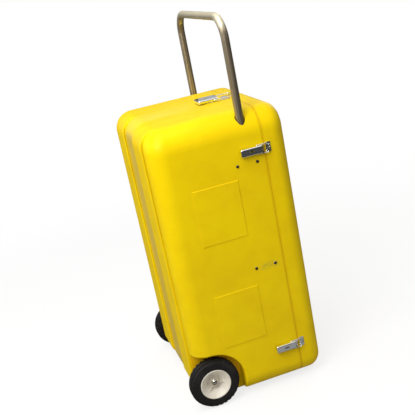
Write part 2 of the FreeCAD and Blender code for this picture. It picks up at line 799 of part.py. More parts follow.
def latch_pivot_pin(latch):
    body = latch_body(latch, "pivot_pin")
    pivot, half = latch_sizes(latch)
    rod(body, "pin_" + latch, (pivot, f"-({half})", "pivot_height"), AXIS_Y, "pivot_radius", f"2 * ({half})")
    return body


def latch_lever(latch):
    """The pressed lever: a channel with rolled edges that straddles the ears, closed at its free end."""
    body = latch_body(latch, "lever")
    pivot, half = latch_sizes(latch)
    free = f"{pivot} - lever_length"
    foot = "lever_height - lever_flange"
    block(body, "lever_stock_" + latch, (free, f"-({half})", foot),
          ("lever_length", f"2 * ({half})", "lever_flange"))
    trough = f"2 * ({half} - latch_sheet)"
    block(body, "lever_trough_" + latch, (f"{free} + latch_sheet", f"latch_sheet - ({half})", foot),
          ("lever_length - latch_sheet", trough, "lever_flange - latch_sheet"), cut=True)
    inner_tip, ceiling = number(f"{free} + latch_sheet"), number("lever_height - latch_sheet")
    fillet(body, "trough_corners_" + latch, "lever_corner - latch_sheet",
           lambda e: lies_at(e, "X", inner_tip) and runs_along(e, AXIS_Z))
    fillet(body, "trough_roll_" + latch, "lever_roll - latch_sheet",
           lambda e: lies_at(e, "Z", ceiling) and runs_along(e, AXIS_X))
    tip, top = number(free), number("lever_height")
    fillet(body, "lever_corners_" + latch, "lever_corner",
           lambda e: lies_at(e, "X", tip) and runs_along(e, AXIS_Z))
    fillet(body, "lever_roll_" + latch, "lever_roll",
           lambda e: lies_at(e, "Z", top) and runs_along(e, AXIS_X))
    block(body, "lever_window_" + latch, (f"{pivot} - lever_window", f"latch_sheet - ({half})", foot),
          ("lever_window", trough, "lever_flange"), cut=True)
    lever_slot(body, latch, f"{free} + lever_length / 2")
    for step in (-1, 1):
        start = f"-({half})" if step < 0 else f"{half} - latch_sheet"
        rod(body, f"lever_eye_{latch}_{step + 1}", (pivot, start, "pivot_height"), AXIS_Y,
            "eye_radius", "latch_sheet")
    bore(body, "lever_bore_" + latch, (pivot, f"-({half})", "pivot_height"), AXIS_Y,
         "pivot_radius + running_clearance", f"2 * ({half})")
    bore(body, "lever_bail_bore_" + latch, (f"{pivot} - latch_throw", f"-({half})", "bail_height"), AXIS_Y,
         "bail_wire + running_clearance", f"2 * ({half})")
    return body


def lever_slot(body, latch, middle):
    """The slot with round ends through the top of a lever."""
    ceiling, straight = "lever_height - latch_sheet", "lever_slot_length - lever_slot_width"
    block(body, "slot_" + latch, (f"{middle} - ({straight}) / 2", "-lever_slot_width / 2", ceiling),
          (straight, "lever_slot_width", "latch_sheet"), cut=True)
    for step in (-1, 1):
        bore(body, f"slot_end_{latch}_{step + 1}", (f"{middle} + {step} * ({straight}) / 2", "0", ceiling),
             AXIS_Z, "lever_slot_width / 2", "latch_sheet")


def latch_bail(latch):
    """The wire loop that the lever draws tight round the keeper, its ends turned into the lever."""
    body = latch_body(latch, "bail")
    pivot, half = latch_sizes(latch)
    heel = f"{pivot} - latch_throw"
    leg = f"({half} + bail_gap + bail_wire)"
    end = f"({half} - latch_sheet - bail_stub)"
    path = bent_path(body, "XY_Plane", "bail_path_" + latch, [
        (heel, f"-{end}"), (heel, f"-{leg}"), ("bail_reach", f"-{leg}"),
        ("bail_reach", leg), (heel, leg), (heel, end)],
        ["bail_end_bend", "bail_bend", "bail_bend", "bail_end_bend"], "bail_height")
    section = round_section(body, "XZ_Plane", "bail_section_" + latch, (heel, "bail_height"),
                            ["bail_wire"], end)
    sweep(body, section, path)
    return body


def latch_keeper(latch):
    """The plate on the lid with an upturned tab that the bail pulls on."""
    body = latch_body(latch, "keeper")
    half = latch_sizes(latch)[1]
    wide = f"{half} + bail_gap + 2 * bail_wire"
    tab = f"{half} - latch_sheet - bail_stub"
    block(body, "keeper_plate_" + latch, ("keeper_start", f"-({wide})", "0"),
          ("keeper_length", f"2 * ({wide})", "latch_sheet"))
    block(body, "keeper_tab_" + latch, ("tab_face - latch_sheet", f"-({tab})", "0"),
          ("latch_sheet", f"2 * ({tab})", "keeper_tab_rise"))
    rivet_holes(body, "keeper_" + latch, keeper_rivets(latch))
    return body


# Lid hinges, each in its own frame: +X towards the lid, +Z along the pin, the wall on its -Y side
HINGES = {"upper": "top_z - hinge_from_end", "lower": "bottom_z + hinge_from_end"}
BASE_LEAF = -1
LID_LEAF = 1


def hinge_body(level, piece):
    body = new_body(f"{piece}_{level}_body")
    locate(body, ("seam_x", "half_width + hinge_drop", HINGES[level]))
    return as_node(body, f"hinge_{level}_{piece}")


def leaf_rivets(leaf):
    """Where a leaf is riveted, along its middle."""
    x = f"{leaf} * (hinge_leaf + knuckle_relief) / 2"
    return [(x, f"{step} * (half_hinge - hinge_rivet_edge)") for step in (-1, 0, 1)]


def hinge_leaf(level, piece, leaf):
    """A leaf with its knuckles: two outer ones on the base, one between them on the lid."""
    body = hinge_body(level, piece)
    tag = f"{piece}_{level}"
    start = "-hinge_leaf" if leaf == BASE_LEAF else "knuckle_relief"
    block(body, tag, (start, "-hinge_drop", "-half_hinge"),
          ("hinge_leaf - knuckle_relief", "hinge_sheet", "hinge_length"))
    outer = [("-half_hinge", "knuckle_length"), ("half_hinge - knuckle_length", "knuckle_length")]
    middle = [("-middle_knuckle / 2", "middle_knuckle")]
    for i, (low, length) in enumerate(outer if leaf == BASE_LEAF else middle):
        root = "-knuckle_relief" if leaf == BASE_LEAF else "0"
        block(body, f"root_{tag}_{i}", (root, "-hinge_drop", low), ("knuckle_relief", "hinge_sheet", length))
        rod(body, f"knuckle_{tag}_{i}", ("0", "0", low), AXIS_Z, "knuckle_radius", length)
    fit = "hinge_pin_radius" if leaf == BASE_LEAF else "hinge_pin_radius + running_clearance"
    bore(body, "knuckle_bore_" + tag, ("0", "0", "-half_hinge"), AXIS_Z, fit, "hinge_length")
    for i, (x, z) in enumerate(leaf_rivets(leaf)):
        bore(body, f"leaf_hole_{tag}_{i}", (x, "-hinge_drop", z), AXIS_Y, "rivet_hole", "hinge_sheet")
    return body


def hinge_pin(level):
    body = hinge_body(level, "pin")
    rod(body, "hinge_rod_" + level, ("0", "0", "-half_hinge"), AXIS_Z, "hinge_pin_radius", "hinge_length")
    return body


# Fasteners, each in its own frame: on the outer face of a wall, +Z off the wall
def rivet(sheet_size):
    """A domed rivet through a sheet and the wall."""
    shank, wall, grip = number("rivet_radius"), number("wall"), number(sheet_size)
    head, rise = number("rivet_radius + rivet_head_rim"), number("rivet_head_height")
    tail, tail_height = number("rivet_radius + rivet_tail_rim"), number("rivet_tail_height")
    ball = (head ** 2 + rise ** 2) / (2 * rise)
    latitude = math.degrees(math.asin((ball - rise) / ball))
    dome = Part.makeSphere(ball, Vector(0, 0, grip + rise - ball), AXIS_Z, latitude, 90, 360)
    stem = Part.makeCylinder(shank, grip + wall, Vector(0, 0, -wall))
    upset = Part.makeCylinder(tail, tail_height, Vector(0, 0, -wall - tail_height))
    return dome.fuse([stem, upset]).removeSplitter()


def screw():
    """A pan-head screw through the wall into a handle guide."""
    height, shank = number("screw_head_height"), number("wall + screw_grip")
    disc = Part.makeCylinder(number("screw_radius + screw_head_rim"), height)
    rim = [edge for edge in disc.Edges if lies_at(edge, "Z", height)]
    head = disc.makeFillet(number("screw_head_round"), rim)
    return head.fuse(Part.makeCylinder(number("screw_radius"), shank, Vector(0, 0, -shank))).removeSplitter()


def spot_on(place, rotation):
    """A fixed placement from three formulas and a rotation."""
    return Placement(Vector(*(number(text) for text in place)), rotation)


def latch_spots(spots_of):
    """The fasteners of all latches, from their places on one latch."""
    return [spot_on(place, rotation) * spot_on((x, y, "0"), Rotation())
            for latch, (kind, rotation, place) in LATCHES.items() for x, y in spots_of(latch)]


def hinge_spots(leaf):
    """The fasteners of one kind of leaf on both hinges."""
    return [spot_on((f"seam_x + {x}", "half_width", f"{height} + {z}"), Rotation(AXIS_X, -90))
            for height in HINGES.values() for x, z in leaf_rivets(leaf)]


def guide_spots():
    """The screws of all handle guides."""
    return [spot_on((f"handle_x + {screw_x(step)}", f"{side} * half_width", f"top_z - guide_drop_{level}"),
                    Rotation(AXIS_X, -90 * side))
            for side in SIDES.values() for level in LEVELS for step in (-1, 1)]


def group(name, shape, spots):
    """Copies of one shape at all the given spots, as one object."""
    thing = doc.addObject("Part::Feature", name)
    thing.Shape = Part.makeCompound([shape.transformed(spot.toMatrix(), True) for spot in spots])
    return thing


def wall_holes(name, radius, spots):
    """The holes through a wall for a set of fasteners."""
    depth = number("2 * wall")
    return group(name, Part.makeCylinder(number(radius), 2 * depth, Vector(0, 0, -depth)), spots)


def build():
    fill_sheet()
    rivets = {
        "latch_plate_rivets": ("latch_sheet", latch_spots(plate_rivets)),
        "hinge_base_rivets": ("hinge_sheet", hinge_spots(BASE_LEAF)),
        "keeper_rivets": ("latch_sheet", latch_spots(keeper_rivets)),
        "hinge_lid_rivets": ("hinge_sheet", hinge_spots(LID_LEAF)),
    }
    holes = {label: wall_holes(label + "_holes", "rivet_hole", spots)
             for label, (grip, spots) in rivets.items()}
    screw_holes = wall_holes("guide_screw_holes", "screw_hole", guide_spots())
    base_shell(join("base_holes", [holes["latch_plate_rivets"], holes["hinge_base_rivets"], screw_holes]))
    lid_shell(join("lid_holes", [holes["keeper_rivets"], holes["hinge_lid_rivets"]]))
    lid_seal()
    for name, side in SIDES.items():
        for piece in (hub, tyre, axle_stub, axle_cap, backing_plate, axle_nut, handle_stop):
            piece(name, side)
        for level in LEVELS:
            handle_guide(level, name, side)
    handle_tube()
    for latch in LATCHES:
        for piece in (latch_plate, latch_pivot_pin, latch_lever, latch_bail, latch_keeper):
            piece(latch)
    for level in LEVELS:
        hinge_leaf(level, "base_leaf", BASE_LEAF)
        hinge_leaf(level, "lid_leaf", LID_LEAF)
        hinge_pin(level)
    for label, (grip, spots) in rivets.items():
        as_node(group(label + "_group", rivet(grip), spots), label)
    as_node(group("guide_screw_group", screw(), guide_spots()), "guide_screws")
    doc.recompute()


def check():
    """Stops before anything is written if a step failed or a piece is not sound."""
    failed = [thing.Name for thing in doc.Objects if {"Invalid", "Error"} & set(thing.State)]
    unsound = [node.Label for node in nodes if node.Shape.isNull() or not node.Shape.isValid()]
    if failed or unsound:
        raise RuntimeError(f"failed steps {failed}, unsound pieces {unsound}")


def write():
    os.makedirs("parts", exist_ok=True)
    for node in nodes:
        node.Shape.exportStep(f"parts/{node.Label}.step")


build()
check()
write()
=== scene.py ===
"""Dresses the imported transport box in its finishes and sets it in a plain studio."""
import math

import bpy
from bpy.props import FloatProperty, FloatVectorProperty, IntProperty, PointerProperty
from mathutils import Matrix, Vector


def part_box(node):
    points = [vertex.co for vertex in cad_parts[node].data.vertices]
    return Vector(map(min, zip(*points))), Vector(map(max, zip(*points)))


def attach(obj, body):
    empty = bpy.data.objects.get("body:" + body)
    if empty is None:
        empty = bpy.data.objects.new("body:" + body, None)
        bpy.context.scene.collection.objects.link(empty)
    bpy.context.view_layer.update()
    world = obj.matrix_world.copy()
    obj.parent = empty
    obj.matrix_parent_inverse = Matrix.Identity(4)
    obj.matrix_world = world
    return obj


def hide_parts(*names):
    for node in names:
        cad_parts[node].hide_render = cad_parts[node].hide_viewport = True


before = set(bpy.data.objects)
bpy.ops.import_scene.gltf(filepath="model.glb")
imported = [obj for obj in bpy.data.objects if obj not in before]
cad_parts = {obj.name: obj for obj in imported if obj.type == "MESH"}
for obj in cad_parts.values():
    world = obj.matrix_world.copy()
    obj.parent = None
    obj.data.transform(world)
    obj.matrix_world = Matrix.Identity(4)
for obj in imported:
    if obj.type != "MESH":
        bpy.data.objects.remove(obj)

bl_info = {
    "name": "Transport box",
    "version": (1, 0, 0),
    "blender": (4, 5, 0),
    "location": "View3D > Sidebar > Transport box",
    "description": "Dresses the packed transport box and sets its studio",
    "category": "Object",
}

# The two sides and which way each faces along Y
SIDES = {"latch_side": -1.0, "hinge_side": 1.0}
LATCHES = ("upper", "lower", "end")
LEVELS = ("upper", "lower")


# Places on the box, in metres
def middle(node):
    """The middle of a CAD node's box."""
    low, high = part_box(node)
    return [(a + b) / 2.0 for a, b in zip(low, high)]


SEAM_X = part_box("base_shell")[1][0]
TOP_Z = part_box("base_shell")[1][2]
AXLE_X, AXLE_Y, AXLE_Z = middle("tyre_hinge_side")
SCREWS_LOW, SCREWS_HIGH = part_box("guide_screws")

# A pair below says where a mark on the mouldings starts to change and where it has changed.
# Depths behind the origin at which the back's panel and the runners' faces begin
PANEL_DEPTH = (0.174, 0.180)
RUNNER_DEPTH = (0.1840, 0.1868)
# Edge of the channel, from the middle of the back
CHANNEL_EDGE = (0.048, 0.062)
# Middle of a runner, how far from it the creases beside its edges lie, their fade and where their painted
# shade grows
RUNNER_MIDDLE = 0.124
CREASE_OFFSET = 0.0554
CREASE_FADE = (0.0008, 0.0036)
CREASE_HEIGHT = (0.25, 0.70)
# Start of the handle end below the top, and the stretch of X where its scuffs and painted sheen fade towards
# the lid
HANDLE_END = (-0.052, -0.030)
SCUFF_FADE = (-0.06, 0.07)
# Inner wall of the wheel wells, and the square of their radius, which bound the painted shade in the wells
WELL_WALL = (AXLE_Y - 0.036, AXLE_Y - 0.028)
WELL_RADIUS_SQUARED = (0.0081, 0.0088)
# Distances from the seam of its line of dirt, the painted shade beside that and the painted warm shade around
# both
SEAM_LINE = (0.0004, 0.0016)
SEAM_SHADE = (0.0010, 0.0060)
SEAM_WARMTH = (0.0020, 0.0085)
# Middle of the smear round the lower screws, its fade both ways and the side that it is on
SMEAR_X = SCREWS_HIGH[0] - 0.022
SMEAR_Z = SCREWS_LOW[2] + 0.004
SMEAR_FADE_X = (0.012, 0.040)
SMEAR_FADE_Z = (0.004, 0.016)
SMEAR_SIDE = (0.235, 0.240)
# Bevel at the back edge of the raised fields, its fade and the start of their rise over the side, where
# painted shade dims the light on the bevel
FIELD_X = SEAM_X - 0.2229
FIELD_FADE = (0.0004, 0.0010)
FIELD_RISE = (0.2412, 0.2415)
# Heights between which the handle's legs turn into its bar, and the painted shade of the legs into the
# painted light of the bar
HANDLE_BEND = (1.05, 1.075)
# Squares of the radii between which the grease round an axle ends
GREASE_RADIUS_SQUARED = (0.00012, 0.00075)


# Settings
def colour(name, description, default):
    return FloatVectorProperty(name=name, description=description, default=default,
                               subtype="COLOR", size=3, min=0.0, max=1.0)


def share(name, description, default):
    return FloatProperty(name=name, description=description, default=default,
                         subtype="FACTOR", min=0.0, max=1.0)


def length(name, description, default):
    return FloatProperty(name=name, description=description, default=default, unit="LENGTH", min=0.0)


def power(name, description, default):
    return FloatProperty(name=name, description=description, default=default, unit="POWER", min=0.0)


class ShellLook(bpy.types.PropertyGroup):
    """Finish of the mouldings, the seal between them and the handle's guides."""
    yellow: colour("Moulding", "Colour of the moulded plastic", (0.87, 0.625, 0.0012))
    amber: colour("Shaded moulding", "Colour that the plastic drifts to in patches", (0.79, 0.53, 0.0012))
    # The deep moulding colour is painted shade: a warmer, redder tone standing in for the shade inside the
    # wheel wells
    deep: colour("Deep moulding", "Colour of the plastic in the wheel wells", (1.0, 0.52, 0.004))
    # The dust colour is also painted sheen: it stands in for the pale reflection along the back's channel
    dust_and_sheen: colour("Dust", "Colour of the film in the channel of the back", (0.62, 0.45, 0.13))
    # The scuff colour also paints pale sheen and highlights on the handle end
    scuff_and_sheen: colour("Scuff", "Colour of the pale scuffs on the handle end", (0.84, 0.66, 0.14))
    # The worn edge colour is painted shade: a warm tone in a band beside the seam
    worn: colour("Worn edge", "Colour of the plastic along the seam", (0.74, 0.40, 0.0012))
    # The grime colour is also painted shade in the runners' creases, on the fields' back bevel and in the
    # band beside the seam
    grime: colour("Grime", "Colour of the dirt in the seam and the creases", (0.30, 0.17, 0.004))
    smear: colour("Smear", "Colour of the greasy smear round the lower screws", (0.42, 0.36, 0.04))
    gloss: share("Roughness", "Roughness of the clean plastic", 0.33)
    seal: colour("Seal", "Colour of the rubber band in the lid's rim", (0.20, 0.13, 0.03))
    guide: colour("Guide", "Colour of the plastic of the handle's guides and stops", (0.03, 0.03, 0.032))


class MetalLook(bpy.types.PropertyGroup):
    """Finish of the metal pieces."""
    chrome: colour("Plating", "Colour of the latches' plating", (0.92, 0.94, 0.94))
    cap: colour("Cap", "Colour of the caps on the axles", (0.70, 0.66, 0.57))
    # Bar and leg are lit and shaded copies of one steel: the bar is painted lighter, the legs darker
    bar_in_light: colour("Bar", "Colour of the pull handle's bar", (0.77, 0.70, 0.52))
    leg_in_shade: colour("Leg", "Colour of the pull handle's legs", (0.54, 0.45, 0.31))
    # The stain colour paints dark reflection streaks along the tube, mixed with some grime
    stain: colour("Stain", "Colour of the dark streaks on the pull handle", (0.075, 0.052, 0.028))
    zinc: colour("Zinc", "Colour of the plated hinges, fasteners and axles", (0.56, 0.56, 0.54))
    dirt: colour("Dirt", "Colour of the dirt on the zinc", (0.24, 0.22, 0.19))
    brown: colour("Browned steel", "Colour of the browned steel of the screws", (0.085, 0.068, 0.045))


class WheelLook(bpy.types.PropertyGroup):
    """Finish and small sizes of the wheels."""
    rubber: colour("Tyre", "Colour of the rubber", (0.012, 0.011, 0.010))
    bloom: colour("Bloom", "Colour of the greyish bloom on the rubber", (0.045, 0.042, 0.040))
    cream: colour("Hub", "Colour of the hub's plastic", (0.78, 0.72, 0.61))
    hub_stain: colour("Hub stain", "Colour of the stains on the hub", (0.50, 0.42, 0.28))
    grease: colour("Grease", "Colour of the grease round the axle", (0.22, 0.15, 0.07))
    lugs: IntProperty(name="Lugs", description="Lugs along each shoulder of the tread", default=30, min=8)
    outer_lug: length("Outer lug", "Height of the lugs on the shoulder away from the case", 0.0014)
    inner_lug: length("Inner lug", "Height of the lugs on the shoulder towards the case", 0.0028)
    ribs: IntProperty(name="Ribs", description="Ribs between a hub's boss and its dish", default=3, min=0)
    rib_width: length("Rib width", "Width of a hub's rib", 0.0042)


class ScrewLook(bpy.types.PropertyGroup):
    """Sizes of the screws on the sides."""
    head: length("Head", "Radius of the head", 0.0045)
    rise: length("Rise", "Height of the head", 0.0026)
    shank: length("Shank", "Radius of the shank", 0.0025)
    reach: length("Reach", "Length of the shank", 0.0120)
    recess: length("Recess", "Span of the cross recess", 0.0050)
    slot: length("Slot", "Width of the cross recess", 0.0013)


class StudioLook(bpy.types.PropertyGroup):
    """Light, floor and cards."""
    paper: colour("Floor", "Colour of the floor to the eye", (0.92, 0.92, 0.91))
    bounce: colour("Bounce", "Colour of the light that the floor throws back on the box", (0.42, 0.42, 0.41))
    card: share("Card", "Tone of the grey cards beside the box", 0.13)
    near_card: share("Near card", "Tone of the cards at the foot of the box", 0.27)
    far_card: share("Far card", "Tone of the cards behind the box, which the handle's bar shows", 0.32)
    gleam_card: share("Gleam card", "Tone of the small card behind the box, which the end latch shows", 0.45)
    overhead: power("Overhead", "Power of the soft light above the box", 23.0)
    front: power("Front", "Power of the soft light beside the camera", 41.0)
    behind: power("Behind", "Power of the weak soft light behind the box", 16.0)
    left: power("Left", "Power of the weak soft light that faces the runners", 7.0)
    fill: share("Fill", "Strength of the even light from all round", 0.45)


class BoxSettings(bpy.types.PropertyGroup):
    """All settings of the transport box."""
    shell: PointerProperty(type=ShellLook)
    metal: PointerProperty(type=MetalLook)
    wheel: PointerProperty(type=WheelLook)
    screw: PointerProperty(type=ScrewLook)
    studio: PointerProperty(type=StudioLook)


# Finishes
WHITE = (1.0, 1.0, 1.0, 1.0)


def solid(tint):
    """A colour with full opacity. A wire stays as it is."""
    return tint if isinstance(tint, Wire) else (tint[0], tint[1], tint[2], 1.0)


def grey(tone):
    return (tone, tone, tone)


class Wire:
    """A socket among a finish's nodes. Sums of wires and numbers add Math nodes."""

    def __init__(self, socket):
        self.socket = socket

    def node(self, kind, settings, inputs, output=0):
        """The wire of one output of a new node, which gets its settings and then its inputs."""
        tree = self.socket.id_data
        made = tree.nodes.new(kind)
        for key, value in settings.items():
            setattr(made, key, value)
        for key, value in inputs.items():
            plug = next(s for s in made.inputs if key in (s.identifier, s.name))
            if isinstance(value, Wire):
                tree.links.new(value.socket, plug)
            else:
                plug.default_value = value
        if isinstance(output, int):
            return Wire(made.outputs[output])
        return Wire(next(s for s in made.outputs if output in (s.identifier, s.name)))

    def math(self, operation, *values):
        plugs = ("Value", "Value_001")
        return self.node("ShaderNodeMath", {"operation": operation}, dict(zip(plugs, values)))

    def __add__(self, other):
        return self.math("ADD", self, other)

    __radd__ = __add__

    def __sub__(self, other):
        return self.math("SUBTRACT", self, other)

    def __rsub__(self, other):
        return self.math("SUBTRACT", other, self)

    def __mul__(self, other):
        return self.math("MULTIPLY", self, other)

    __rmul__ = __mul__

    def __abs__(self):
        return self.math("ABSOLUTE", self)

    def step(self, low, high):
        """0 below low, 1 above high, and smooth between them."""
        return self.node("ShaderNodeMapRange", {"interpolation_type": "SMOOTHSTEP"},
                         {"Value": self, "From Min": low, "From Max": high})

    def fade(self, low, high):
        """1 below low, 0 above high, and smooth between them."""
        return 1.0 - self.step(low, high)

    def blend(self, first, second):
        """A colour between two, by this share of the second."""
        return self.node("ShaderNodeMix", {"data_type": "RGBA"},
                         {"Factor_Float": self, "A_Color": solid(first), "B_Color": solid(second)},
                         "Result_Color")

    def noise(self, scale, detail=2.0, stretch=(1.0, 1.0, 1.0)):
        """Cloudy grain with so many waves a metre, drawn out along an axis where stretch is small."""
        place = self.node("ShaderNodeMapping", {}, {"Vector": self, "Scale": stretch})
        return self.node("ShaderNodeTexNoise", {}, {"Vector": place, "Scale": scale, "Detail": detail})

    def axes(self):
        """The three parts of a vector."""
        return [self.node("ShaderNodeSeparateXYZ", {}, {"Vector": self}, i) for i in range(3)]


def start_finish(name):
    """A new material and the wire of its Object coordinates."""
    material = bpy.data.materials.new(name)
    material.use_nodes = True
    material.node_tree.nodes.clear()
    return material, Wire(material.node_tree.nodes.new("ShaderNodeTexCoord").outputs["Object"])


def close_surface(shader):
    """Wires a shader to the output of its material."""
    tree = shader.socket.id_data
    tree.links.new(shader.socket, tree.nodes.new("ShaderNodeOutputMaterial").inputs["Surface"])


def close_finish(at, height, relief, inputs):
    """Ends a finish with a surface whose bump is a height of up to so many metres."""
    bump = at.node("ShaderNodeBump", {}, {"Height": height, "Distance": relief})
    close_surface(at.node("ShaderNodeBsdfPrincipled", {}, {**inputs, "Normal": bump}))


def from_axles_squared(x, z):
    """The square of the distance from the line through both axles."""
    return (x - AXLE_X) * (x - AXLE_X) + (z - AXLE_Z) * (z - AXLE_Z)


def seam_marks(at, x):
    """Shares of the dirt in the seam with the painted shade beside it, and of the painted warm shade around
    both.
    """
    away = abs(x - SEAM_X)
    # The seam line is dirt; the wider band beside it is painted shade
    dirt = away.fade(*SEAM_LINE) * 0.26 + away.fade(*SEAM_SHADE) * 0.08
    seam_warm_shade = away.fade(*SEAM_WARMTH) * (0.22 + 0.30 * at.noise(14.0, 3.0))
    return dirt * (0.6 + 0.8 * at.noise(40.0, 3.0)), seam_warm_shade


def latch_side_marks(at, x, y, z):
    """Shares of the smear round the lower screws and of the painted shade at the back edge of the raised
    fields, which dims the light on their bevel.
    """
    smear = abs(z - SMEAR_Z).fade(*SMEAR_FADE_Z) * abs(x - SMEAR_X).fade(*SMEAR_FADE_X)
    smear = smear * (0.0 - y).step(*SMEAR_SIDE)
    smear = smear * at.noise(60.0, 4.0, (1.0, 1.0, 2.5)).step(0.25, 0.65)
    # Painted shade: the fields' back bevel is darkened where the lamp lights it more than the side
    field_edge_shade = abs(x - FIELD_X).fade(*FIELD_FADE) * (0.0 - y).step(*FIELD_RISE)
    return smear, field_edge_shade


def hair_scratches(at):
    """The share of fine scratches, some along the box and some across it, in a few places."""
    across = at.noise(26.0, 3.0, (1.0, 1.0, 22.0)).step(0.66, 0.70)
    along = at.noise(30.0, 3.0, (18.0, 18.0, 0.8)).step(0.68, 0.72)
    return (across + along) * at.noise(7.0, 2.0).step(0.50, 0.66)


def moulded_yellow(look):
    """Moulded plastic with a fine skin, faint patches, scratches and rubbed spots, scored runners with
    painted shade in their creases, dust and painted sheen in the channel, scuffs and painted sheen on the
    handle end, a grimy seam with painted shade and painted warm shade beside it, and painted shade in the
    wheel wells."""
    material, at = start_finish("moulded_yellow")
    x, y, z = at.axes()
    back = (0.0 - x).step(*PANEL_DEPTH)
    runner = (0.0 - x).step(*RUNNER_DEPTH)
    panel = back * (1.0 - runner)
    between = abs(y).fade(*CHANNEL_EDGE)
    end = (z - TOP_Z).step(*HANDLE_END)
    # Painted shade: a dark line along the creases beside the runners' edges, stronger higher up
    crease_shade = abs(abs(abs(y) - RUNNER_MIDDLE) - CREASE_OFFSET).fade(*CREASE_FADE) * panel
    crease_shade = crease_shade * (0.3 + 0.7 * z.step(*CREASE_HEIGHT)) * (0.5 + 0.5 * at.noise(24.0, 3.0))
    # Where the wheel wells get painted shade, and a rougher skin
    shaded_well = abs(y).step(*WELL_WALL) * from_axles_squared(x, z).fade(*WELL_RADIUS_SQUARED)
    seam, seam_warm_shade = seam_marks(at, x)
    smear, field_edge_shade = latch_side_marks(at, x, y, z)
    hairs = hair_scratches(at)
    rub = at.noise(30.0, 5.0, (1.0, 1.0, 0.4)).step(0.62, 0.72) * at.noise(3.0, 2.0).step(0.45, 0.65)
    patches = 0.55 * at.noise(5.0, 3.0).step(0.35, 0.7) + 0.45 * at.noise(17.0, 4.0).step(0.38, 0.66)
    specks = at.noise(160.0, 3.0)
    drag = at.noise(9.0, 4.0, (20.0, 30.0, 1.0)).step(0.5, 0.75)
    streak = at.noise(18.0, 4.0, (0.4, 2.0, 1.0)).step(0.3, 0.7)
    # Dust and painted sheen: a pale film along the channel of the back
    dust_and_sheen_film = panel * between * (0.34 + 0.36 * at.noise(22.0, 5.0, (1.0, 3.0, 0.22)).step(0.25, 0.75))
    # Scuffs and painted sheen: pale streaks on the handle end, most along the channel's band
    end_sheen_band = end * x.fade(*SCUFF_FADE) * between
    scuff_and_sheen = (1.0 - back) * (end_sheen_band * (0.10 + 0.26 * streak) + 0.16 * end * rub)
    paint = (patches * 0.80).blend(look.yellow, look.amber)
    paint = (specks.step(0.62, 0.74) * 0.10).blend(paint, look.amber)
    paint = (runner * drag * 0.10).blend(paint, look.dust_and_sheen)
    # Dust and painted sheen in the channel
    paint = dust_and_sheen_film.blend(paint, look.dust_and_sheen)
    paint = scuff_and_sheen.blend(paint, look.scuff_and_sheen)
    paint = (rub * 0.12 + smear * 0.5).blend(paint, look.smear)
    paint = (hairs * 0.16).blend(paint, look.dust_and_sheen)
    # Painted shade in the grime colour along the runners' creases and on the fields' back bevel
    paint = (field_edge_shade * 0.20 + crease_shade * 0.60).blend(paint, look.grime)
    # Painted shade in the wheel wells, in the deep moulding colour
    paint = (shaded_well * 0.9).blend(paint, look.deep)
    # Painted warm shade beside the seam, in the worn edge colour
    paint = seam_warm_shade.blend(paint, look.worn)
    # Dirt in the seam line, and painted shade in the band beside it
    paint = seam.blend(paint, look.grime)
    rough = look.gloss + 0.10 * (specks - 0.5) + 0.06 * patches + 0.15 * rub
    rough = rough + 0.22 * runner + 0.2 * shaded_well - 0.08 * dust_and_sheen_film
    skin = 0.55 * at.noise(420.0, 2.0) + 0.45 * at.noise(60.0, 2.0) - 0.4 * runner * drag - 0.3 * hairs
    close_finish(at, skin, 0.00040, {"Base Color": paint, "Roughness": rough, "Specular IOR Level": 0.09})
    return material


def plating(name, tint):
    """Bright plating with fine polishing lines and dull spots."""
    material, at = start_finish(name)
    lines = at.noise(260.0, 3.0, (1.0, 1.0, 6.0))
    spots = at.noise(320.0, 4.0).step(0.58, 0.72)
    paint = (spots * 0.35).blend(tint, [0.6 * part for part in tint])
    rough = 0.04 + 0.05 * lines + 0.12 * spots
    close_finish(at, lines, 0.00004, {"Base Color": paint, "Roughness": rough, "Metallic": 1.0})
    return material


def drawn_lines(at, axis):
    """The fine and the broad lines that drawing leaves along an axis, 0 to 2 for X to Z."""
    fine = [1.0, 1.0, 1.0]
    fine[axis] = 0.012
    broad = [1.0, 1.0, 1.0]
    broad[axis] = 0.010
    return 0.40 * at.noise(360.0, 3.0, fine) + 0.60 * at.noise(130.0, 2.0, broad)


def drawn_tube(look):
    """Drawn steel tube with lines along its legs and its bar, painted shade on the legs and painted light on
    the bar, and dark streaks of painted reflection mixed with grime, most of them on the legs.
    """
    material, at = start_finish("drawn_tube")
    z = at.axes()[2]
    bar_in_light = z.step(*HANDLE_BEND)
    lines = drawn_lines(at, 2) * (1.0 - bar_in_light) + drawn_lines(at, 1) * bar_in_light
    grime = at.noise(22.0, 4.0).step(0.45, 0.8)
    # Painted reflection: dark lines along the tube, mixed with grime, mostly on the legs
    reflection_streaks = lines.step(0.41, 0.55)
    stain = (0.80 * reflection_streaks + 0.20 * grime) * (1.0 - 0.80 * bar_in_light)
    paint = stain.blend(bar_in_light.blend(look.leg_in_shade, look.bar_in_light), look.stain)
    rough = 0.40 + 0.14 * reflection_streaks + 0.10 * grime
    close_finish(at, lines, 0.00005,
                 {"Base Color": paint, "Roughness": rough, "Metallic": 1.0 - 0.5 * stain})
    return material


def zinc(look):
    """Zinc plated steel, cloudy and slightly dull."""
    material, at = start_finish("zinc")
    cloud = at.noise(180.0, 4.0)
    dirt = at.noise(60.0, 4.0).step(0.5, 0.75)
    paint = (0.4 * cloud + 0.3 * dirt).blend(look.zinc, look.dirt)
    rough = 0.28 + 0.22 * cloud
    close_finish(at, cloud, 0.00006, {"Base Color": paint, "Roughness": rough, "Metallic": 1.0})
    return material


def dark_steel(look):
    """Dull browned steel of the screws, bright in worn spots."""
    material, at = start_finish("dark_steel")
    stain = at.noise(420.0, 4.0)
    paint = stain.step(0.48, 0.75).blend(look.brown, look.zinc)
    rough = 0.30 + 0.25 * stain
    close_finish(at, stain, 0.00005, {"Base Color": paint, "Roughness": rough, "Metallic": 1.0})
    return material


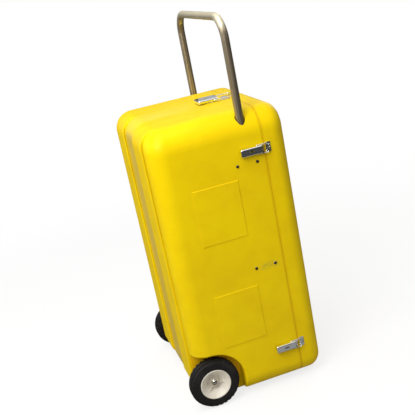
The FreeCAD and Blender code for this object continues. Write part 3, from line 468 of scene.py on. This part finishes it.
def tyre_rubber(look):
    """Black rubber with grit and a greyish bloom in patches."""
    material, at = start_finish("tyre_rubber")
    bloom = at.noise(40.0, 4.0).step(0.4, 0.75)
    grit = at.noise(700.0, 3.0)
    paint = (0.5 * bloom * grit).blend(look.rubber, look.bloom)
    rough = 0.52 + 0.22 * bloom + 0.1 * grit
    close_finish(at, grit, 0.00018, {"Base Color": paint, "Roughness": rough, "Specular IOR Level": 0.25})
    return material


def cream_plastic(look):
    """Cream moulded hub with stains, and grease towards the axle."""
    material, at = start_finish("cream_plastic")
    x, _, z = at.axes()
    stains = at.noise(70.0, 5.0).step(0.45, 0.8)
    grease = from_axles_squared(x, z).fade(*GREASE_RADIUS_SQUARED) * (0.28 + 0.4 * stains)
    fine = at.noise(500.0, 2.0)
    paint = (0.35 * stains).blend(look.cream, look.hub_stain)
    paint = grease.blend(paint, look.grease)
    rough = 0.36 + 0.16 * stains + 0.06 * fine
    close_finish(at, fine, 0.00010, {"Base Color": paint, "Roughness": rough})
    return material


def matt_polymer(name, tint):
    """Moulded polymer or rubber with a fine matt grain, paler where it is worn."""
    material, at = start_finish(name)
    grain = at.noise(900.0, 3.0)
    wear = at.noise(50.0, 4.0).step(0.45, 0.8)
    paint = (0.5 * wear).blend(tint, [2.2 * part + 0.01 for part in tint])
    rough = 0.55 + 0.2 * grain
    close_finish(at, grain, 0.0001, {"Base Color": paint, "Roughness": rough})
    return material


def dress(material, *names):
    """Puts a finish on CAD nodes."""
    for name in names:
        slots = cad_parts[name].data.materials
        slots.clear()
        slots.append(material)


# Modelling
def alone(piece):
    """Selects one object and nothing else."""
    bpy.ops.object.select_all(action="DESELECT")
    piece.select_set(True)
    bpy.context.view_layer.objects.active = piece


def settle(name):
    """Leaves edit mode and puts the active object's place into its mesh."""
    bpy.ops.object.mode_set(mode="OBJECT")
    bpy.ops.object.transform_apply(location=True, rotation=True, scale=True)
    bpy.context.object.name = name
    return bpy.context.object


def turned(name, centre, outline, steps, axis=(0.0, 1.0, 0.0), away=(0.0, 0.0, 1.0)):
    """A piece turned about an axis through a centre, from points of its outline: how far each lies along the
    axis and how far away from it."""
    def offset(along, out):
        return [along * a + out * b for a, b in zip(axis, away)]

    start = [c + d for c, d in zip(centre, offset(*outline[0]))]
    bpy.ops.object.select_all(action="DESELECT")
    bpy.ops.mesh.primitive_plane_add(size=0.01, location=start)
    bpy.ops.object.mode_set(mode="EDIT")
    bpy.ops.mesh.select_mode(type="VERT")
    bpy.ops.mesh.merge(type="CENTER")
    for (along, out), (next_along, next_out) in zip(outline, outline[1:]):
        bpy.ops.mesh.extrude_vertices_move(
            TRANSFORM_OT_translate={"value": offset(next_along - along, next_out - out)})
    bpy.ops.mesh.select_all(action="SELECT")
    bpy.ops.mesh.spin(steps=steps, angle=2.0 * math.pi, center=centre, axis=axis)
    bpy.ops.mesh.select_all(action="SELECT")
    bpy.ops.mesh.remove_doubles(threshold=0.00002)
    bpy.ops.mesh.normals_make_consistent(inside=False)
    return settle(name)


def facing(outward, outline):
    """An outline whose points along Y run the way that a side faces."""
    return [(outward * along, out) for along, out in outline]


def pick_faces(piece, wanted):
    """Opens a piece in edit mode with only its wanted faces selected."""
    alone(piece)
    bpy.ops.object.mode_set(mode="EDIT")
    bpy.ops.mesh.select_mode(type="FACE")
    bpy.ops.mesh.select_all(action="DESELECT")
    bpy.ops.object.mode_set(mode="OBJECT")
    for face in piece.data.polygons:
        face.select = wanted(face)
    bpy.ops.object.mode_set(mode="EDIT")


def soften(piece, width, sharp=0.5):
    """Rounds the edges of a piece that are sharper than an angle and shades it smooth."""
    alone(piece)
    bevel = piece.modifiers.new("soft_edges", "BEVEL")
    bevel.width = width
    bevel.segments = 2
    bevel.limit_method = "ANGLE"
    bevel.angle_limit = sharp
    bpy.ops.object.modifier_apply(modifier=bevel.name)
    bpy.ops.object.shade_smooth_by_angle(angle=sharp)


def slab(name, centre, size):
    """A block of a size about a centre."""
    bpy.ops.object.select_all(action="DESELECT")
    bpy.ops.mesh.primitive_cube_add(size=1.0, location=centre)
    bpy.ops.object.mode_set(mode="EDIT")
    bpy.ops.transform.resize(value=size)
    return settle(name)


def carve(piece, *tools):
    """Cuts tools out of a piece and removes them."""
    for tool in tools:
        alone(piece)
        cut = piece.modifiers.new("cut", "BOOLEAN")
        cut.operation = "DIFFERENCE"
        cut.object = tool
        bpy.ops.object.modifier_apply(modifier=cut.name)
        alone(tool)
        bpy.ops.object.delete()


def united(name, pieces):
    """Joins pieces into one object."""
    alone(pieces[0])
    for piece in pieces:
        piece.select_set(True)
    bpy.ops.object.join()
    return settle(name)


def place(piece, body, finish, slot, *nodes):
    """Gives a piece its finish and lets it stand for nodes of a body."""
    piece.data.materials.clear()
    piece.data.materials.append(finish)
    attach(piece, body)
    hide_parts(*nodes)


# Stage
FLOOR_SIZE = 90.0
# Squares of the distances between which the floor fades to white, and how white it is before that
FLOOR_FADE = (0.5, 5.0)
FLOOR_WHITENESS = 0.78

# Section of the ring of cards, as heights and distances from the Z axis, and the steps of its turn
CARD_SECTION = ((0.002, 0.02), (0.002, 4.0), (3.4, 4.2))
CARD_STEPS = 48
# Heights between which the standing cards begin, and the stretch of Y in which the mottling turns even
CARD_FOOT = (0.1, 0.6)
CARD_EVEN = (-0.6, 0.8)
# Darkest and lightest mottling of the front cards, as shares of their tone
CARD_MOTTLE = (0.05, 1.1)
# Part of the far cards that the handle's bar shows, along X and Y
BAR_CARD_X = (-0.8, 0.2)
BAR_CARD_Y = (1.2, 3.2)
# Small card that the end latch shows: its middle in X and Z, its fade round that, and where it starts along Y
GLEAM_X = 1.1
GLEAM_Z = 1.6
GLEAM_FADE_X = (0.35, 0.70)
GLEAM_FADE_Z = (0.15, 0.35)
GLEAM_Y = (2.6, 3.2)
# Squares of the distances from the Z axis where the near cards end, and the stretch of Y in which they end
NEAR_REACH_SQUARED = (0.30, 1.0)
NEAR_Y = (-0.45, -0.15)

# Soft lights: where each stands, the point that it faces and the side of its square
LAMPS = {
    "overhead": ((-0.4, -0.4, 2.9), (0.0, 0.0, 0.6), 1.4),
    "front": ((-1.15, -1.30, 2.10), (0.0, 0.0, 0.65), 1.3),
    "behind": ((1.9, 2.0, 1.7), (0.0, 0.0, 0.5), 1.6),
    "left": ((-2.0, 0.6, 1.5), (0.0, 0.0, 0.45), 1.4),
}

# Camera: sensor and lens in millimetres, its place, and the directions of its right, its up and its back
SENSOR_WIDTH = 36.0
LENS = 65.09
CAMERA_SPOT = (-0.5015, -2.1178, 1.2484)
CAMERA_RIGHT = (0.9383, -0.2893, -0.1896)
CAMERA_UP = (0.2662, 0.2539, 0.9299)
CAMERA_BACK = (-0.2208, -0.9230, 0.3153)


def studio_light(name, spot, target, size, strength):
    """A square soft light that faces a point."""
    lamp = bpy.data.lights.new(name, "AREA")
    lamp.shape = "SQUARE"
    lamp.size = size
    lamp.energy = strength
    light = bpy.data.objects.new(name, lamp)
    bpy.context.scene.collection.objects.link(light)
    light.location = spot
    light.rotation_euler = (Vector(target) - Vector(spot)).to_track_quat("-Z", "Y").to_euler()


def backdrop_rays(at):
    """1 for camera, mirror and glass rays, and 0 for the light that falls on things."""
    camera = at.node("ShaderNodeLightPath", {}, {}, "Is Camera Ray")
    outputs = camera.socket.node.outputs
    return camera + Wire(outputs["Is Glossy Ray"]) + Wire(outputs["Is Transmission Ray"])


def lay_floor(look):
    """A pale floor, nearly white to the eye, that keeps the box's shadow and fades to white far off."""
    bpy.ops.object.select_all(action="DESELECT")
    bpy.ops.mesh.primitive_plane_add(size=FLOOR_SIZE, location=(0.0, 0.0, 0.0))
    floor = bpy.context.object
    floor.name = "floor"
    material, at = start_finish("floor_paper")
    x, y, _ = at.axes()
    far = (x * x + y * y).step(*FLOOR_FADE)
    eye = at.node("ShaderNodeLightPath", {}, {}, "Is Camera Ray")
    lit = at.node("ShaderNodeBsdfDiffuse", {}, {"Color": eye.blend(look.bounce, look.paper)})
    white = at.node("ShaderNodeEmission", {}, {"Color": WHITE, "Strength": 1.0})
    seen = backdrop_rays(at) * (FLOOR_WHITENESS + (1.0 - FLOOR_WHITENESS) * far)
    close_surface(at.node("ShaderNodeMixShader", {}, {"Fac": seen, "Shader": lit, "Shader_001": white}))
    floor.data.materials.append(material)


def card_tone(at, look):
    """The cards' tone by place: mottled in front, even behind, and paler in parts that the metal shows."""
    x, y, z = at.axes()
    standing = z.step(*CARD_FOOT)
    darkest, lightest = CARD_MOTTLE
    mottle = at.noise(11.0, 1.0).step(0.48, 0.58)
    tone = mottle.blend(grey(look.card * darkest), grey(look.card * lightest))
    even = y.step(*CARD_EVEN) * (0.15 + 0.85 * standing)
    tone = even.blend(tone, grey(look.card))
    behind = x.fade(*BAR_CARD_X) * y.step(*BAR_CARD_Y) * standing
    tone = behind.blend(tone, grey(look.far_card))
    gleam = y.step(*GLEAM_Y) * abs(x - GLEAM_X).fade(*GLEAM_FADE_X) * abs(z - GLEAM_Z).fade(*GLEAM_FADE_Z)
    tone = gleam.blend(tone, grey(look.gleam_card))
    near = (x * x + y * y).fade(*NEAR_REACH_SQUARED) * y.fade(*NEAR_Y)
    return near.blend(tone, grey(look.near_card))


def hang_cards(look):
    """A ring of grey cards on the floor and round the box, which only its glossy surfaces show."""
    material, at = start_finish("grey_card")
    close_surface(at.node("ShaderNodeEmission", {}, {"Color": card_tone(at, look), "Strength": 1.0}))
    cards = turned("cards", (0.0, 0.0, 0.0), CARD_SECTION, CARD_STEPS,
                   axis=(0.0, 0.0, 1.0), away=(1.0, 0.0, 0.0))
    cards.data.materials.append(material)
    cards.visible_camera = False
    cards.visible_diffuse = False
    cards.visible_shadow = False


def fill_light(look):
    """Even light from all round, white to the eye."""
    world = bpy.data.worlds.new("studio")
    bpy.context.scene.world = world
    world.use_nodes = True
    tree = world.node_tree
    tree.nodes.clear()
    at = Wire(tree.nodes.new("ShaderNodeTexCoord").outputs["Generated"])
    even = at.node("ShaderNodeBackground", {}, {"Color": WHITE, "Strength": look.fill})
    white = at.node("ShaderNodeBackground", {}, {"Color": WHITE, "Strength": 1.0})
    both = at.node("ShaderNodeMixShader", {},
                   {"Fac": backdrop_rays(at), "Shader": even, "Shader_001": white})
    tree.links.new(both.socket, tree.nodes.new("ShaderNodeOutputWorld").inputs["Surface"])


def set_camera():
    """The camera at the photograph's angle."""
    camera = bpy.data.cameras.new("camera")
    camera.sensor_width = SENSOR_WIDTH
    camera.lens = LENS
    eye = bpy.data.objects.new("camera", camera)
    bpy.context.scene.collection.objects.link(eye)
    turn = Matrix((CAMERA_RIGHT, CAMERA_UP, CAMERA_BACK)).transposed().to_4x4()
    eye.matrix_world = Matrix.Translation(CAMERA_SPOT) @ turn
    bpy.context.scene.camera = eye


class TRANSPORT_BOX_OT_stage(bpy.types.Operator):
    """Floor, cards, lights, even fill and camera."""
    bl_idname = "transport_box.stage"
    bl_label = "Stage"

    def execute(self, context):
        look = context.scene.transport_box.studio
        lay_floor(look)
        hang_cards(look)
        fill_light(look)
        for name, (spot, target, size) in LAMPS.items():
            studio_light(name, spot, target, size, getattr(look, name))
        set_camera()
        context.scene.view_settings.view_transform = "Standard"
        return {"FINISHED"}


# Pieces
class TRANSPORT_BOX_OT_shells(bpy.types.Operator):
    """Base and lid mouldings and the seal between them."""
    bl_idname = "transport_box.shells"
    bl_label = "Shells"

    def execute(self, context):
        look = context.scene.transport_box.shell
        dress(moulded_yellow(look), "base_shell", "lid_shell")
        dress(matt_polymer("seal_rubber", look.seal), "lid_seal")
        return {"FINISHED"}


# Steps of a tyre's turn for a lug and its gap, and where the shoulders start along the axle and out from it
LUG_STEPS = 3
SHOULDER_START = 0.0096
SHOULDER_FOOT = 0.0682
# A hub's rib: its middle out from the axle and along it, its length and depth, the taper of its outer end and
# how far that moves outwards, and by what share of the turn between two ribs the first is turned back
RIB_FROM_AXLE = 0.0235
RIB_ALONG_AXLE = 0.0005
RIB_LENGTH = 0.0210
RIB_DEPTH = 0.0080
RIB_TAPER = (1.0, 0.35, 0.8)
RIB_SLANT = 0.0054
RIB_TURN = 0.11
# Foot of an axle cap, from the middle plane of its wheel
CAP_FOOT = 0.0044


def tyre(side, centre, outward, look):
    """A solid tyre: a grooved rib round its middle and lugs along both shoulders."""
    half = ((0.0170, 0.0460), (0.0184, 0.0472), (0.0187, 0.0490), (0.0180, 0.0506), (0.0186, 0.0540),
            (0.0189, 0.0590), (0.0188, 0.0640), (0.0180, 0.0676), (0.0164, 0.0698), (0.0098, 0.0708),
            (0.0094, 0.0744), (0.0087, 0.0750), (0.0018, 0.0750), (0.0014, 0.0734))
    outline = facing(-1.0, half) + list(reversed(half))
    steps = LUG_STEPS * look.lugs
    piece = turned("tyre_dressed_" + side, centre, outline + outline[:1], steps)

    def lug(face, shoulder):
        spot = face.center - Vector(centre)
        step = math.floor(math.atan2(spot.z, spot.x) / (2.0 * math.pi) * steps)
        gap = LUG_STEPS - 1 if spot.y > 0.0 else 0
        on_shoulder = shoulder * spot.y > SHOULDER_START and math.hypot(spot.x, spot.z) > SHOULDER_FOOT
        return on_shoulder and step % LUG_STEPS != gap

    for shoulder, rise in ((outward, look.outer_lug), (-outward, look.inner_lug)):
        pick_faces(piece, lambda face: lug(face, shoulder))
        bpy.ops.mesh.extrude_region_shrink_fatten(TRANSFORM_OT_shrink_fatten={"value": rise})
        bpy.ops.object.mode_set(mode="OBJECT")
    soften(piece, width=0.0006)
    return piece


def rib(number, centre, outward, look):
    """One rib from a hub's boss to its dish, thinner and further out at its outer end."""
    spot = (centre[0] + RIB_FROM_AXLE, centre[1] + outward * RIB_ALONG_AXLE, centre[2])
    piece = slab("rib", spot, (RIB_LENGTH, RIB_DEPTH, look.rib_width))
    pick_faces(piece, lambda face: face.normal.x > 0.9)
    bpy.ops.transform.resize(value=RIB_TAPER)
    bpy.ops.transform.translate(value=(0.0, outward * RIB_SLANT, 0.0))
    bpy.ops.mesh.select_all(action="SELECT")
    bpy.ops.transform.rotate(value=2.0 * math.pi * (number - RIB_TURN) / look.ribs, orient_axis="Y",
                             center_override=centre)
    bpy.ops.object.mode_set(mode="OBJECT")
    soften(piece, width=0.0009)
    return piece


def hub(side, centre, outward, look):
    """A dished hub with a rolled rim, a boss and short ribs."""
    outline = [(0.0184, 0.0460), (0.0190, 0.0452), (0.0190, 0.0438), (0.0183, 0.0424), (0.0165, 0.0411),
               (0.0140, 0.0386), (0.0090, 0.0335), (0.0048, 0.0289), (0.0015, 0.0252), (-0.0008, 0.0224),
               (-0.0018, 0.0200), (-0.0020, 0.0165), (-0.0012, 0.0149), (0.0024, 0.0140), (0.0035, 0.0136),
               (0.0040, 0.0128), (0.0040, 0.0064), (-0.0120, 0.0064), (-0.0120, 0.0140), (-0.0110, 0.0150),
               (-0.0110, 0.0240), (-0.0050, 0.0300), (0.0060, 0.0385), (0.0080, 0.0420), (-0.0170, 0.0420),
               (-0.0190, 0.0440), (-0.0190, 0.0455), (-0.0184, 0.0460), (0.0184, 0.0460)]
    dish = turned("hub_dish_" + side, centre, facing(outward, outline), steps=96)
    soften(dish, width=0.0004, sharp=0.7)
    ribs = [rib(number, centre, outward, look) for number in range(look.ribs)]
    return united("hub_dressed_" + side, [dish] + ribs)


def axle_cap(side, centre, outward):
    """A pressed cap with a rolled foot and a dome, from heights over its foot and radii."""
    dome = ((0.0, 0.0064), (0.0, 0.0106), (0.0004, 0.0110), (0.0012, 0.0110), (0.0017, 0.0106),
            (0.0020, 0.0101), (0.0032, 0.0098), (0.0046, 0.0090), (0.0060, 0.0076), (0.0070, 0.0058),
            (0.0077, 0.0036), (0.0080, 0.0))
    outline = facing(outward, [(CAP_FOOT + rise, out) for rise, out in dome])
    piece = turned("axle_cap_dressed_" + side, centre, outline, steps=48)
    alone(piece)
    bpy.ops.object.shade_smooth_by_angle(angle=0.9)
    return piece


class TRANSPORT_BOX_OT_wheels(bpy.types.Operator):
    """Wheels and axles."""
    bl_idname = "transport_box.wheels"
    bl_label = "Wheels"

    def execute(self, context):
        look = context.scene.transport_box
        rubber, cream, steel = tyre_rubber(look.wheel), cream_plastic(look.wheel), zinc(look.metal)
        bright = plating("cap_plating", look.metal.cap)
        for side, outward in SIDES.items():
            centre = middle("tyre_" + side)
            wheel = "wheel_" + side
            place(tyre(side, centre, outward, look.wheel), wheel, rubber, "tyre", "tyre_" + side)
            place(hub(side, centre, outward, look.wheel), wheel, cream, "hub", "hub_" + side)
            place(axle_cap(side, centre, outward), "base", bright, "cap", "axle_cap_" + side)
            dress(steel, *(f"{piece}_{side}" for piece in ("axle_stub", "backing_plate", "axle_nut")))
        return {"FINISHED"}


# Depth of a screw's recess as a share of its head's, and the angle from one screw's recess to the next one's
RECESS_SHARE = 0.7
SCREW_TURN = 0.3


def screw(look):
    """One pan head screw with a cross recess, its head at the origin towards -Y."""
    head, rise = look.head, look.rise
    outline = [(-rise, 0.0), (-rise, 0.35 * head), (-0.94 * rise, 0.60 * head), (-0.74 * rise, 0.83 * head),
               (-0.42 * rise, 0.96 * head), (-0.12 * rise, head), (0.0, 0.97 * head), (0.0, look.shank),
               (0.88 * look.reach, look.shank), (look.reach, 0.35 * look.shank), (look.reach, 0.0)]
    piece = turned("screw", (0.0, 0.0, 0.0), outline, steps=40)
    # Half of each tool stands clear of the head
    deep = 2.0 * RECESS_SHARE * rise
    tools = [slab("recess", (0.0, -rise, 0.0), size)
             for size in ((look.recess, deep, look.slot), (look.slot, deep, look.recess))]
    carve(piece, *tools)
    soften(piece, width=0.00015, sharp=0.8)
    return piece


class TRANSPORT_BOX_OT_screws(bpy.types.Operator):
    """Screws that hold the handle's guides."""
    bl_idname = "transport_box.screws"
    bl_label = "Screws"

    def execute(self, context):
        look = context.scene.transport_box
        low, high = SCREWS_LOW, SCREWS_HIGH
        inset = look.screw.head
        first = screw(look.screw)
        pieces = []
        for outward in SIDES.values():
            wall = (high[1] if outward > 0.0 else -low[1]) - look.screw.rise
            for x in (low[0] + inset, high[0] - inset):
                for z in (low[2] + inset, high[2] - inset):
                    alone(first)
                    bpy.ops.object.duplicate()
                    copy = bpy.context.object
                    copy.rotation_euler = (0.0, SCREW_TURN * len(pieces), math.pi * (outward > 0.0))
                    copy.location = (x, outward * wall, z)
                    pieces.append(copy)
        alone(first)
        bpy.ops.object.delete()
        screws = united("guide_screws_dressed", pieces)
        place(screws, "base", dark_steel(look.metal), "fastener", "guide_screws")
        return {"FINISHED"}


class TRANSPORT_BOX_OT_handle(bpy.types.Operator):
    """Pull handle with its guides and stops."""
    bl_idname = "transport_box.handle"
    bl_label = "Handle"

    def execute(self, context):
        look = context.scene.transport_box
        dress(drawn_tube(look.metal), "handle_tube")
        dress(matt_polymer("guide_polymer", look.shell.guide),
              *(f"handle_guide_{level}_{side}" for level in LEVELS for side in SIDES),
              *("handle_stop_" + side for side in SIDES))
        return {"FINISHED"}


class TRANSPORT_BOX_OT_latches(bpy.types.Operator):
    """Draw latches and their rivets."""
    bl_idname = "transport_box.latches"
    bl_label = "Latches"

    def execute(self, context):
        pieces = ("plate", "pivot_pin", "lever", "bail", "keeper")
        dress(plating("latch_plating", context.scene.transport_box.metal.chrome),
              *(f"latch_{latch}_{piece}" for latch in LATCHES for piece in pieces),
              "latch_plate_rivets", "keeper_rivets")
        return {"FINISHED"}


class TRANSPORT_BOX_OT_hinges(bpy.types.Operator):
    """Lid hinges and their rivets."""
    bl_idname = "transport_box.hinges"
    bl_label = "Hinges"

    def execute(self, context):
        pieces = ("base_leaf", "lid_leaf", "pin")
        dress(zinc(context.scene.transport_box.metal),
              *(f"hinge_{level}_{piece}" for level in LEVELS for piece in pieces),
              "hinge_base_rivets", "hinge_lid_rivets")
        return {"FINISHED"}


# Steps in the order in which they run
OPERATORS = (
    TRANSPORT_BOX_OT_stage,
    TRANSPORT_BOX_OT_shells,
    TRANSPORT_BOX_OT_wheels,
    TRANSPORT_BOX_OT_screws,
    TRANSPORT_BOX_OT_handle,
    TRANSPORT_BOX_OT_latches,
    TRANSPORT_BOX_OT_hinges,
)


class TRANSPORT_BOX_PT_panel(bpy.types.Panel):
    """The box's settings and steps in the sidebar."""
    bl_idname = "TRANSPORT_BOX_PT_panel"
    bl_label = "Transport box"
    bl_space_type = "VIEW_3D"
    bl_region_type = "UI"
    bl_category = "Transport box"

    def draw(self, context):
        settings = context.scene.transport_box
        for group in (settings.shell, settings.metal, settings.wheel, settings.screw, settings.studio):
            for name in group.__annotations__:
                self.layout.prop(group, name)
        for step in OPERATORS:
            self.layout.operator(step.bl_idname)


LOOKS = (ShellLook, MetalLook, WheelLook, ScrewLook, StudioLook, BoxSettings)
CLASSES = LOOKS + OPERATORS + (TRANSPORT_BOX_PT_panel,)


def register():
    for item in CLASSES:
        bpy.utils.register_class(item)
    bpy.types.Scene.transport_box = PointerProperty(type=BoxSettings)


def unregister():
    del bpy.types.Scene.transport_box
    for item in reversed(CLASSES):
        bpy.utils.unregister_class(item)


def main():
    """Builds the whole scene."""
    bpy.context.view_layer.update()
    register()
    for step in OPERATORS:
        name = step.bl_idname.split(".")[1]
        getattr(bpy.ops.transport_box, name)()


if __name__ == "__main__":
    main()
